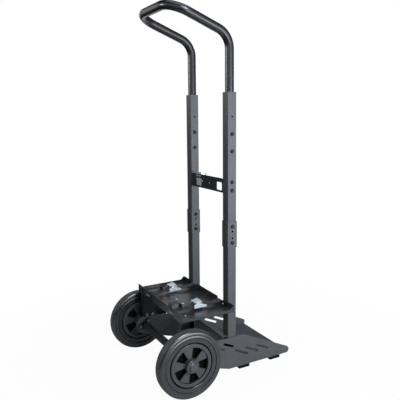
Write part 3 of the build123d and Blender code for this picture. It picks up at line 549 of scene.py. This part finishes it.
def tyre_rubber(wheels):
    """Black rubber: fine mould rings and a dull bloom on the sidewall, paler and near-black stripes round
    the tread, and dull black painted shade on the sidewall's step and below the bead's edge.
    """
    material, look = new_finish("tyre_rubber")
    radius = look.from_axle()
    [x] = look.split(look.place(), "X")
    tread = look.ramp(radius, *TREAD_EDGE)
    ribs = look.ramp(look.waves(x - AXLE[0], wheels.rib_pitch), low=-0.3, high=0.5)
    rings = look.waves(radius, wheels.mould_line_pitch)
    bloom = look.noise(RUBBER_BLOOM, detail=5.0)
    grain = look.noise(RUBBER_GRAIN, detail=2.0)
    sidewall = look.mottled(wheels.tyre_colour, bloom, darkest=0.8, palest=1.35)
    # Paler stripes round the tread, near black between them
    ribbed = look.mix(shade(wheels.tyre_colour, times=0.2), wheels.rib_colour, ribs)
    rubber = look.principled(
        base_color=look.mix(sidewall, ribbed, tread),
        roughness=about(0.26, bloom, reach=0.04) + 0.3 * tread,
        specular_ior_level=0.7,
        normal=look.bump(grain + rings * (1 - tread) * 0.35, strength=0.1, depth=0.0002),
    )
    # Dull black painted shade on the sidewall's step and below the bead's edge
    step = look.zone(radius, *SIDEWALL_STEP_RADII)
    bead = 1 - look.ramp(radius, *BEAD_EDGE)
    look.finish(look.mix_shaders(rubber, look.painted_shade_black(), step * 0.85 + bead))
    return material


def woven(webbing):
    """Woven polyester: yarns along the strap, crossed in a fine twill, with the yarn tops coloured paler as
    a painted sheen.
    """
    material, look = new_finish("webbing_weave")
    across, along = look.split(look.node("ShaderNodeTexCoord", output="UV"), "XY")
    yarn = look.waves(across, webbing.yarn_pitch)
    twill = look.waves(along + across * TWILL_SLANT, webbing.yarn_pitch)
    fuzz = look.noise(WEBBING_FUZZ, detail=3.0)
    cloud = look.noise(WEBBING_CLOUD, detail=3.0)
    weave = 0.5 + 0.25 * yarn + 0.25 * twill
    tops = look.ramp(weave, low=0.35, high=0.95)
    # Painted sheen: the yarn tops are coloured paler
    look.surface(
        base_color=look.mix(webbing.colour, webbing.rib_colour, tops * (0.55 + 0.45 * cloud)),
        roughness=0.78 - 0.2 * tops,
        sheen_weight=0.06,
        sheen_roughness=0.4,
        normal=look.bump(weave + 0.35 * fuzz, strength=0.5, depth=0.0004),
    )
    return material


def sewing_thread(webbing):
    """Twisted polyester thread, coloured darker in the twist's grooves as painted shade."""
    material, look = new_finish("sewing_thread")
    x, y, z = look.split(look.place())
    twist = look.waves(x + y + z, webbing.stitch_width)
    # Painted shade: the colour darkens where the twist dips
    look.surface(
        base_color=look.mottled(webbing.thread_colour, 0.5 + 0.5 * twist, darkest=0.6, palest=1.0),
        roughness=0.55 + 0.1 * twist,
        normal=look.bump(twist, strength=0.3, depth=0.0001),
    )
    return material


def paint_nodes(material, *names):
    """Gives CAD pieces their finish."""
    for name in names:
        node = frame["nodes"][name]
        node.data.materials.clear()
        node.data.materials.append(material)


def both_sides(*names):
    """The left and right piece of each name."""
    return [f"{name}_{side}" for name in names for side in SIDES]


class TROLLEY_OT_frame(bpy.types.Operator):
    """Charcoal powder coat on uprights, sleeves, side plates, base plate and cross beam, with painted shade
    inside the uprights and in the sleeves' spare holes
    """

    bl_idname = "trolley.frame"
    bl_label = "Frame"

    def execute(self, context):
        paint = context.scene.trolley_paint
        coat = (paint.frame_colour, paint.frame_roughness, paint)
        plates = powder_coat("frame_powder_coat", *coat)
        tubes = powder_coat("upright_powder_coat", *coat, painted_shade_mask=tube_shade_mask)
        paint_nodes(plates, "base_plate", "rear_cross_beam", *both_sides("side_plate"))
        paint_nodes(tubes, *both_sides("lower_upright", "upper_upright", "joint_sleeve"))
        return {"FINISHED"}


class TROLLEY_OT_tray(bpy.types.Operator):
    """Black coat on the tray and the cross plate"""

    bl_idname = "trolley.tray"
    bl_label = "Tray and cross plate"

    def execute(self, context):
        paint = context.scene.trolley_paint
        coat = powder_coat("tray_black_coat", paint.tray_colour, paint.tray_roughness, paint)
        paint_nodes(coat, "tray", "cross_plate")
        return {"FINISHED"}


class TROLLEY_OT_handle(bpy.types.Operator):
    """Black enamel on the bent handle"""

    bl_idname = "trolley.handle"
    bl_label = "Handle"

    def execute(self, context):
        paint_nodes(handle_enamel(context.scene.trolley_paint), "handle")
        return {"FINISHED"}


class TROLLEY_OT_axle(bpy.types.Operator):
    """Dull black enamel, made darker as painted shade, on axle tube, spacers, flanges and brackets under the
    tray, bright steel on axle and washers
    """

    bl_idname = "trolley.axle"
    bl_label = "Axle"

    def execute(self, context):
        paint = context.scene.trolley_paint
        metal = context.scene.trolley_metal
        # Darker enamel, painted as shade under the tray
        enamel = powder_coat("axle_enamel", paint.axle_shaded_colour, paint.axle_roughness, paint, gloss=0.25)
        steel = plated("axle_steel", metal.steel_colour, metal, roughness=0.3)
        paint_nodes(enamel, "axle_tube", "axle_spacers", *both_sides("axle_flange", "tray_bracket"))
        paint_nodes(steel, "axle", "wheel_washers")
        return {"FINISHED"}


class TROLLEY_OT_fasteners(bpy.types.Operator):
    """Black oxide and dull zinc on the bolts and nuts"""

    bl_idname = "trolley.fasteners"
    bl_label = "Bolts and nuts"

    def execute(self, context):
        metal = context.scene.trolley_metal
        oxide = black_oxide(metal)
        zinc = plated("bolt_zinc", metal.zinc_colour, metal, roughness=0.42, metallic=0.8)
        for group in ("sleeve", "handle", "cross_plate", "tray"):
            paint_nodes(oxide, f"{group}_bolts", f"{group}_nuts")
        for group in ("bracket", "axle_flange"):
            paint_nodes(zinc, f"{group}_bolts", f"{group}_nuts")
        paint_nodes(zinc, "shelf_bolts")
        paint_nodes(oxide, "shelf_nuts")
        return {"FINISHED"}


class TROLLEY_OT_buckles(bpy.types.Operator):
    """Bluish zinc on the three cam buckles"""

    bl_idname = "trolley.buckles"
    bl_label = "Cam buckles"

    def execute(self, context):
        metal = context.scene.trolley_metal
        zinc = plated("buckle_zinc", metal.buckle_colour, metal, roughness=0.4, metallic=0.55)
        for place in (*SIDES, "upper"):
            paint_nodes(zinc, f"buckle_frame_{place}", f"cam_lever_{place}")
        paint_nodes(zinc, "buckle_pins", "buckle_rivets")
        return {"FINISHED"}


class TROLLEY_OT_wheels(bpy.types.Operator):
    """Rubber tyres, moulded rims, nylon bushes and axle caps"""

    bl_idname = "trolley.wheels"
    bl_label = "Wheels"

    def execute(self, context):
        wheels = context.scene.trolley_wheels
        paint_nodes(tyre_rubber(wheels), *both_sides("tyre"))
        paint_nodes(rim_plastic(wheels), *both_sides("rim"))
        paint_nodes(moulded("bush_nylon", wheels.bush_colour, roughness=0.4), *both_sides("wheel_bush"))
        paint_nodes(moulded("cap_plastic", wheels.cap_colour, roughness=0.35), "axle_caps")
        return {"FINISHED"}


class TROLLEY_OT_feet(bpy.types.Operator):
    """Matt rubber feet under the base plate"""

    bl_idname = "trolley.feet"
    bl_label = "Rubber feet"

    def execute(self, context):
        colour = context.scene.trolley_wheels.foot_colour
        rubber = moulded("foot_rubber", colour, roughness=0.9, grain=FOOT_GRAIN, gloss=0.1)
        paint_nodes(rubber, "rubber_feet")
        return {"FINISHED"}


# Routes of the webbing's middle line as (y, z) in millimetres. A front strap runs from its loop round the
# tray's lip to the end sewn round the buckle's bar, a rear strap from under the cam to the tray's back lip.
BAR_TURN = [(-92.0, 240.4), (-88.6, 240.7), (-85.6, 242.2), (-85.6, 246.0), (-89.0, 247.6), (-92.6, 245.6)]
FRONT_ROUTES = {
    "left": [
        (-146.0, 235.6), (-137.0, 236.2), (-125.0, 239.6), (-117.0, 242.6), (-115.4, 250.0), (-117.0, 259.0),
        (-125.0, 262.6), (-139.0, 261.8), (-154.0, 261.4), (-165.0, 262.6), (-170.1, 260.6), (-170.1, 252.0),
        (-170.1, 243.0), (-169.9, 236.6), (-163.0, 235.6), (-150.0, 233.8), (-136.0, 234.2), (-124.0, 237.4),
        (-108.0, 238.6),
        *BAR_TURN,
        (-97.0, 241.6), (-104.0, 239.9), (-111.0, 238.4),
    ],
    "right": [
        (-156.0, 239.3), (-149.0, 239.3), (-140.0, 239.1), (-134.2, 242.0), (-133.4, 250.0), (-135.0, 260.6),
        (-143.0, 264.4), (-152.0, 264.1), (-163.0, 264.5), (-169.4, 263.2), (-170.1, 256.0), (-170.1, 248.0),
        (-170.0, 240.0), (-165.6, 237.6), (-155.0, 237.6), (-141.0, 237.5), (-124.0, 238.3), (-106.0, 239.6),
        *BAR_TURN,
        (-97.0, 242.2), (-105.0, 241.3), (-114.0, 240.6),
    ],
}
REAR_ROUTE = [
    (-82.4, 239.6), (-70.0, 239.6), (-55.0, 239.5), (-46.0, 239.6), (-30.0, 239.9), (-10.0, 240.9),
    (5.0, 242.2), (12.0, 243.1), (17.1, 243.5), (17.1, 239.0), (17.1, 234.1),
]

# Seams, in metres: a front strap's sewn end has a row along each edge and one across at either end,
# and a rear strap has two rows across, measured from its back end
SEAM_BACK = 0.019
SEAM_RUN = 0.016
SEAM_END = 0.0165
REAR_ROWS = (0.026, 0.032)

EDGE_ROW_SHARE = 0.38  # of the webbing's width, from its middle line to a row along an edge
CROSS_ROW_SHARE = 0.72  # of the webbing's width, taken by a row across
STITCH_STEP_SHARE = 1.25  # of a stitch's length, from one stitch to the next
SELVEDGE_SHARE = 0.3  # of the webbing's thickness, rounded off along its edges


def new_piece(name, bm):
    """An object at the origin with the shape that was made."""
    mesh = bpy.data.meshes.new(name)
    bm.to_mesh(mesh)
    bm.free()
    piece = bpy.data.objects.new(name, mesh)
    bpy.context.scene.collection.objects.link(piece)
    return piece


def smooth_route(name, places):
    """A mesh of points and edges read from a NURBS route through (y, z) places in millimetres."""
    curve = bpy.data.curves.new(name, "CURVE")
    curve.dimensions = "3D"
    curve.resolution_u = 8
    spline = curve.splines.new("NURBS")
    spline.points.add(len(places) - 1)
    for point, (y, z) in zip(spline.points, places):
        point.co = (0.0, y * MM, z * MM, 1.0)
    spline.order_u = 3
    spline.use_endpoint_u = True
    holder = bpy.data.objects.new(name, curve)
    mesh = bpy.data.meshes.new_from_object(holder)
    bpy.data.objects.remove(holder)
    bpy.data.curves.remove(curve)
    return mesh


def ribbon(name, places, middle, webbing):
    """Webbing along a route: its line of points is extruded across the strap's width."""
    route = smooth_route(name + "_route", places)
    line = [vert.co.copy() for vert in route.vertices]
    bm = bmesh.new()
    bm.from_mesh(route)
    bpy.data.meshes.remove(route)
    along = bm.verts.layers.float.new("along")
    length = 0.0
    bm.verts.ensure_lookup_table()
    for index, vert in enumerate(bm.verts):
        if index:
            length += (line[index] - line[index - 1]).length
        vert[along] = length
    left = middle - webbing.width / 2
    bmesh.ops.translate(bm, verts=bm.verts[:], vec=(left, 0, 0))
    row = bm.edges[:]
    for _ in range(webbing.steps_across):
        made = bmesh.ops.extrude_edge_only(bm, edges=row)["geom"]
        moved = {item for item in made if isinstance(item, bmesh.types.BMVert)}
        bmesh.ops.translate(bm, verts=list(moved), vec=(webbing.width / webbing.steps_across, 0, 0))
        row = [item for item in made if isinstance(item, bmesh.types.BMEdge) and set(item.verts) <= moved]
    weave = bm.loops.layers.uv.new("weave")
    for face in bm.faces:
        face.smooth = True
        for loop in face.loops:
            loop[weave].uv = (loop.vert.co.x - left, loop.vert[along])
    bm.verts.layers.float.remove(along)
    piece = new_piece(name, bm)
    wall = piece.modifiers.new("Thickness", "SOLIDIFY")
    wall.thickness = webbing.thickness
    wall.offset = 0.0
    rounding = piece.modifiers.new("Selvedge", "BEVEL")
    rounding.width = webbing.thickness * SELVEDGE_SHARE
    rounding.segments = 2
    rounding.limit_method = "ANGLE"
    rounding.harden_normals = True
    return piece, line, length


def along_line(line, travel):
    """The point at a distance along a line of points, and the line's direction there."""
    for first, second in zip(line, line[1:]):
        step = second - first
        if travel <= step.length:
            return first + step.normalized() * travel, step.normalized()
        travel -= step.length
    raise ValueError("the row of stitches runs past the end of the webbing")


def on_webbing(line, travel, across, webbing, side):
    """A place on one side of a strap, the strap's direction there and the way up from it."""
    point, way = along_line(line, travel)
    up = ACROSS.cross(way) * side
    return point + up * (webbing.thickness / 2) + ACROSS * across, way, up


def sew_along(bm, line, start, rows, webbing, side):
    """Rows of stitches along a seam, from its start on the route, at their places across."""
    spacing = webbing.stitch_length * STITCH_STEP_SHARE
    for number in range(int(SEAM_RUN / spacing)):
        for across in rows:
            place, way, up = on_webbing(line, start + (number + 0.5) * spacing, across, webbing, side)
            one_stitch(bm, place, way, up, webbing)


def sew_across(bm, line, travel, middle, webbing, side):
    """A row of stitches from edge to edge of the strap."""
    spacing = webbing.stitch_length * STITCH_STEP_SHARE
    count = int(webbing.width * CROSS_ROW_SHARE / spacing)
    for number in range(count):
        across = middle + (number - (count - 1) / 2) * spacing
        place, _, up = on_webbing(line, travel, across, webbing, side)
        one_stitch(bm, place, ACROSS, up, webbing)


def one_stitch(bm, place, way, up, webbing):
    """One stitch, a small rounded grain that lies on the webbing."""
    turn = Matrix((way, up.cross(way), up)).transposed().to_4x4()
    thick = webbing.stitch_width / 2
    stretch = Matrix.Diagonal((webbing.stitch_length / 2, thick, thick, 1))
    matrix = Matrix.Translation(place) @ turn @ stretch
    bmesh.ops.create_uvsphere(bm, u_segments=6, v_segments=6, radius=1.0, matrix=matrix)


def finish_strap(piece, threads, node, webbing):
    """Gives a strap and its stitching their finish and their body, and hides the CAD strap they replace."""
    piece.data.materials.append(bpy.data.materials.get("webbing_weave") or woven(webbing))
    threads.data.materials.append(bpy.data.materials.get("sewing_thread") or sewing_thread(webbing))
    for part in (piece, threads):
        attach(part, "frame")
    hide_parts(node)


class TROLLEY_OT_front_straps(bpy.types.Operator):
    """Webbing loops round the tray's front lip, sewn round the buckles' bars"""

    bl_idname = "trolley.front_straps"
    bl_label = "Front straps"

    def execute(self, context):
        webbing = context.scene.trolley_webbing
        inset = webbing.width * EDGE_ROW_SHARE
        for side, places in FRONT_ROUTES.items():
            node = f"front_strap_{side}"
            middle = middle_of(node).x
            piece, line, length = ribbon(f"front_webbing_{side}", places, middle, webbing)
            seam = length - SEAM_BACK
            bm = bmesh.new()
            sew_along(bm, line, seam, (middle - inset, middle + inset), webbing, -1)
            for travel in (seam, seam + SEAM_END):
                sew_across(bm, line, travel, middle, webbing, -1)
            threads = new_piece(f"front_stitching_{side}", bm)
            finish_strap(piece, threads, node, webbing)
        return {"FINISHED"}


class TROLLEY_OT_rear_straps(bpy.types.Operator):
    """Webbing from under the cams to the notches in the tray's back lip"""

    bl_idname = "trolley.rear_straps"
    bl_label = "Rear straps"

    def execute(self, context):
        webbing = context.scene.trolley_webbing
        for side in SIDES:
            node = f"rear_strap_{side}"
            middle = middle_of(node).x
            piece, line, length = ribbon(f"rear_webbing_{side}", REAR_ROUTE, middle, webbing)
            bm = bmesh.new()
            for back in REAR_ROWS:
                sew_across(bm, line, length - back, middle, webbing, 1)
            threads = new_piece(f"rear_stitching_{side}", bm)
            finish_strap(piece, threads, node, webbing)
        return {"FINISHED"}


# Lamps: where each one is, the point it faces, its width and height, and whether reflections show it
LAMPS = {
    "side": ((2.35, 0.62, 0.54), (0.0, 0.0, 0.5), (1.8, 0.95), True),
    "front": ((2.0, 0.1, 2.0), (0.1, 0.0, 0.2), (1.0, 0.9), True),
    "left": ((-0.9, -2.0, 1.3), (0.0, 0.0, 1.2), (0.5, 0.5), True),
    "back": ((-2.0, 1.6, 1.3), (0.0, 0.0, 0.5), (1.6, 1.4), False),
    "top": ((0.3, 0.0, 2.7), (0.0, 0.0, 0.0), (2.0, 2.0), True),
}

# The floor near the trolley, as a share of plain white, and the shares of its radius over which it fades
# into the white around it, for the camera and for reflections
FLOOR_WHITE = 0.96
FLOOR_FADE = (0.2, 0.5)
MIRRORED_FLOOR_FADE = (0.2, 0.55)

# Curtains: start and sweep round the trolley in degrees, and their other sizes in metres
FRONT_SPAN = (175.0, 170.0)
RIGHT_SPAN = (55.0, 92.0)
WHOLE_TURN = (0.0, 360.0)
CLOTH_STEPS = 48
CLOTH_LIFT = 0.002
APRON_RADIUS = 0.75
CEILING_RADII = (0.001, 4.0)


def soft_lamp(name, place, target, size, colour, power, reflected):
    """A rectangular lamp that the camera doesn't see."""
    light = bpy.data.lights.new(name, "AREA")
    light.color = colour[:3]
    light.shape = "RECTANGLE"
    light.size, light.size_y = size
    light.energy = power
    lamp = bpy.data.objects.new(name, light)
    lamp.location = place
    lamp.rotation_euler = (Vector(target) - Vector(place)).to_track_quat("-Z", "Y").to_euler()
    lamp.visible_camera = False
    lamp.visible_glossy = reflected
    bpy.context.scene.collection.objects.link(lamp)


class TROLLEY_OT_stage(bpy.types.Operator):
    """Pale floor, white surroundings, dark curtains for the reflections, five soft lamps and the camera"""

    bl_idname = "trolley.stage"
    bl_label = "Studio"

    def execute(self, context):
        studio = context.scene.trolley_studio
        self.surroundings(context.scene, studio)
        self.floor(studio)
        self.curtains(studio)
        for name, (place, target, size, reflected) in LAMPS.items():
            power = getattr(studio, f"{name}_power")
            soft_lamp(f"{name}_lamp", place, target, size, studio.lamp_colour, power, reflected)
        self.camera(context.scene, studio)
        context.scene.view_settings.view_transform = "Standard"
        return {"FINISHED"}

    def surroundings(self, scene, studio):
        """White where it is seen, dim where it lights the trolley."""
        world = bpy.data.worlds.new("studio")
        world.use_nodes = True
        scene.world = world
        air = Shading(world.node_tree)
        room = air.node("ShaderNodeBackground", None, {"Color": studio.room_colour})
        white = air.node("ShaderNodeBackground", None, {"Color": WHITE})
        shown = air.mix_shaders(room, white, air.seen_directly())
        air.node("ShaderNodeOutputWorld", None, {"Surface": shown})

    def floor(self, studio):
        """A pale disc that keeps a faint shadow and fades into the white."""
        bm = bmesh.new()
        bmesh.ops.create_circle(bm, cap_ends=True, segments=96, radius=studio.floor_radius)
        disc = new_piece("studio_floor", bm)
        material, look = new_finish("studio_floor")
        x, y = look.split(look.place(), "XY")
        away = distance(x, y) / studio.floor_radius
        mottle = look.noise(FLOOR_MOTTLE, detail=2.0)
        base = look.mottled(studio.floor_colour, mottle, darkest=0.97, palest=1.0)
        matt = look.node("ShaderNodeBsdfDiffuse", None, {"Color": base})
        white = look.node("ShaderNodeEmission", None, {"Color": WHITE})
        camera = look.node("ShaderNodeLightPath", output="Is Camera Ray")
        shown = camera * (FLOOR_WHITE + (1 - FLOOR_WHITE) * look.ramp(away, *FLOOR_FADE))
        mirrored = (look.seen_directly() - camera) * look.ramp(away, *MIRRORED_FLOOR_FADE)
        look.finish(look.mix_shaders(matt, white, shown + mirrored))
        disc.data.materials.append(material)

    def curtains(self, studio):
        """Dark curtains in front and on the right, and a dark ceiling, which reflections alone show."""
        foot = (studio.curtain_radius, CLOTH_LIFT)
        front = [(APRON_RADIUS, CLOTH_LIFT), foot, (studio.curtain_radius, studio.curtain_height)]
        right = [foot, (studio.curtain_radius, studio.ceiling_height)]
        ceiling = [(radius, studio.ceiling_height) for radius in CEILING_RADII]
        self.cloth("front_curtain", front, FRONT_SPAN, studio.curtain_colour)
        self.cloth("right_curtain", right, RIGHT_SPAN, studio.ceiling_colour)
        self.cloth("ceiling", ceiling, WHOLE_TURN, studio.ceiling_colour)

    def cloth(self, name, outline, span, colour):
        """A dark cloth: an outline of (radius, height) points swept round the trolley."""
        start, sweep = (math.radians(angle) for angle in span)
        bm = bmesh.new()
        corners = [bm.verts.new((radius, 0.0, height)) for radius, height in outline]
        for pair in zip(corners, corners[1:]):
            bm.edges.new(pair)
        bmesh.ops.rotate(bm, verts=corners, cent=(0, 0, 0), matrix=Matrix.Rotation(start, 3, "Z"))
        bmesh.ops.spin(
            bm,
            geom=bm.verts[:] + bm.edges[:],
            cent=(0, 0, 0),
            axis=(0, 0, 1),
            angle=sweep,
            steps=CLOTH_STEPS,
            use_merge=span == WHOLE_TURN,
        )
        bmesh.ops.recalc_face_normals(bm, faces=bm.faces[:])
        material, look = new_finish(name)
        base = look.mottled(colour, look.noise(CLOTH_MOTTLE, detail=2.0), darkest=0.8, palest=1.0)
        look.surface(base_color=base, roughness=0.95, specular_ior_level=0.0)
        cloth = new_piece(name, bm)
        cloth.data.materials.append(material)
        for ray in ("camera", "diffuse", "transmission", "volume_scatter", "shadow"):
            setattr(cloth, f"visible_{ray}", False)

    def camera(self, scene, studio):
        """The photograph's view."""
        ahead = Vector(studio.camera_heading).normalized()
        level = ahead.cross(Vector((0, 0, 1))).normalized()
        right = Matrix.Rotation(studio.camera_roll, 3, -ahead) @ level
        turn = Matrix((right, right.cross(ahead), -ahead)).transposed().to_4x4()
        lens = bpy.data.cameras.new("camera")
        lens.sensor_width = 36.0
        lens.lens = studio.camera_lens
        camera = bpy.data.objects.new("camera", lens)
        camera.matrix_world = Matrix.Translation(studio.camera_place) @ turn
        scene.collection.objects.link(camera)
        scene.camera = camera


OPERATORS = (
    TROLLEY_OT_frame,
    TROLLEY_OT_tray,
    TROLLEY_OT_handle,
    TROLLEY_OT_axle,
    TROLLEY_OT_fasteners,
    TROLLEY_OT_buckles,
    TROLLEY_OT_wheels,
    TROLLEY_OT_feet,
    TROLLEY_OT_front_straps,
    TROLLEY_OT_rear_straps,
    TROLLEY_OT_stage,
)
SETTINGS = {
    "trolley_paint": TrolleyPaint,
    "trolley_metal": TrolleyMetal,
    "trolley_wheels": TrolleyWheels,
    "trolley_webbing": TrolleyWebbing,
    "trolley_studio": TrolleyStudio,
}


class TROLLEY_PT_panel(bpy.types.Panel):
    """The trolley's pieces and their settings"""

    bl_label = "Welding Trolley"
    bl_space_type = "VIEW_3D"
    bl_region_type = "UI"
    bl_category = "Trolley"

    def draw(self, context):
        for operator in OPERATORS:
            self.layout.operator(operator.bl_idname)
        for name, group in SETTINGS.items():
            box = self.layout.box()
            for setting in group.__annotations__:
                box.prop(getattr(context.scene, name), setting)


def register():
    for group in SETTINGS.values():
        bpy.utils.register_class(group)
    for name, group in SETTINGS.items():
        setattr(bpy.types.Scene, name, PointerProperty(type=group))
    for operator in OPERATORS:
        bpy.utils.register_class(operator)
    bpy.utils.register_class(TROLLEY_PT_panel)


def unregister():
    bpy.utils.unregister_class(TROLLEY_PT_panel)
    for operator in reversed(OPERATORS):
        bpy.utils.unregister_class(operator)
    for name, group in SETTINGS.items():
        delattr(bpy.types.Scene, name)
        bpy.utils.unregister_class(group)


def main():
    register()
    for operator in OPERATORS:
        family, name = operator.bl_idname.split(".")
        getattr(getattr(bpy.ops, family), name)()


if __name__ == "__main__":
    main()
